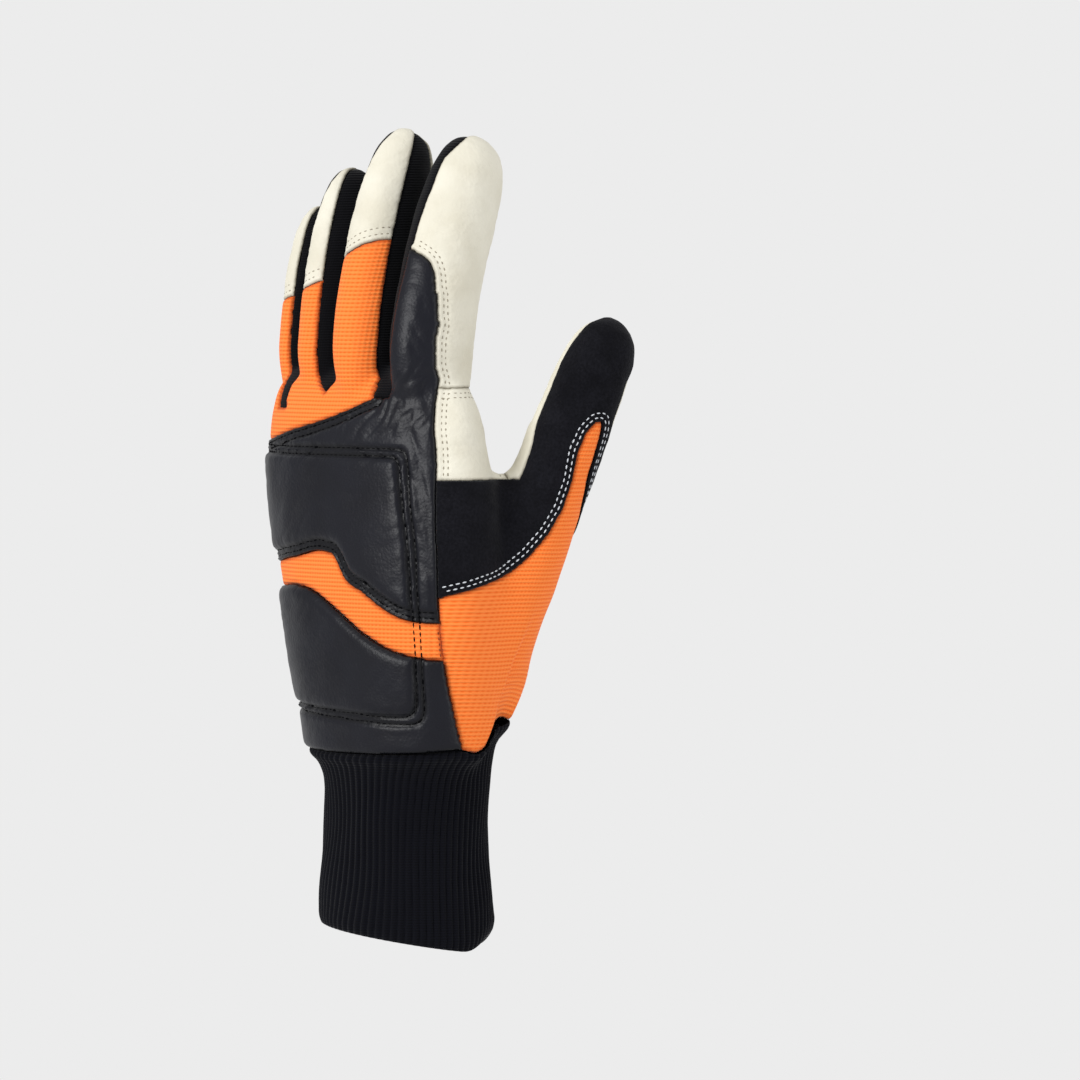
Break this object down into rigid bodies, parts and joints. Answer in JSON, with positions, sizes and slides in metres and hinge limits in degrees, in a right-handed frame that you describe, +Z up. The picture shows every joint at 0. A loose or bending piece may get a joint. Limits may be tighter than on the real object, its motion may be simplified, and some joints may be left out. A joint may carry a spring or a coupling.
{
  "type": "chainsaw work glove",
  "caption": "Left-hand work glove with a ribbed wrist cuff, cream leather palm, black padded back and orange knit panels, standing open as if worn.",
  "frame": {"origin": "centre of the cuff's mouth, where the hand goes in", "axes": "+Z up along the hand towards the fingertips, +X towards the thumb, -Y out of the back of the hand, +Y out of the palm"},
  "size_m": [0.1268, 0.0847, 0.2827],
  "materials": {
    "rib_knit_black": "matte rib knit",
    "leather_cream": "soft matte goatskin",
    "leather_black": "satin grain leather",
    "knit_orange": "matte ridged stretch knit",
    "suede_black": "matte suede",
    "jersey_black": "matte jersey"
  },
  "bodies": {
    "root": {"cuff": "rib_knit_black", "palm_pad": "leather_cream", "index_leather": "leather_cream", "middle_leather": "leather_cream", "ring_leather": "leather_cream", "little_leather": "leather_cream", "knuckle_pad": "leather_black", "wrist_pad": "leather_black", "back_stripe": "knit_orange", "finger_knit": "knit_orange", "thumb_knit": "knit_orange", "thumb_suede": "suede_black", "thumb_leather": "leather_cream", "fourchette_little_ring": "jersey_black", "fourchette_ring_middle": "jersey_black", "fourchette_middle_index": "jersey_black"}
  },
  "joints": []
}
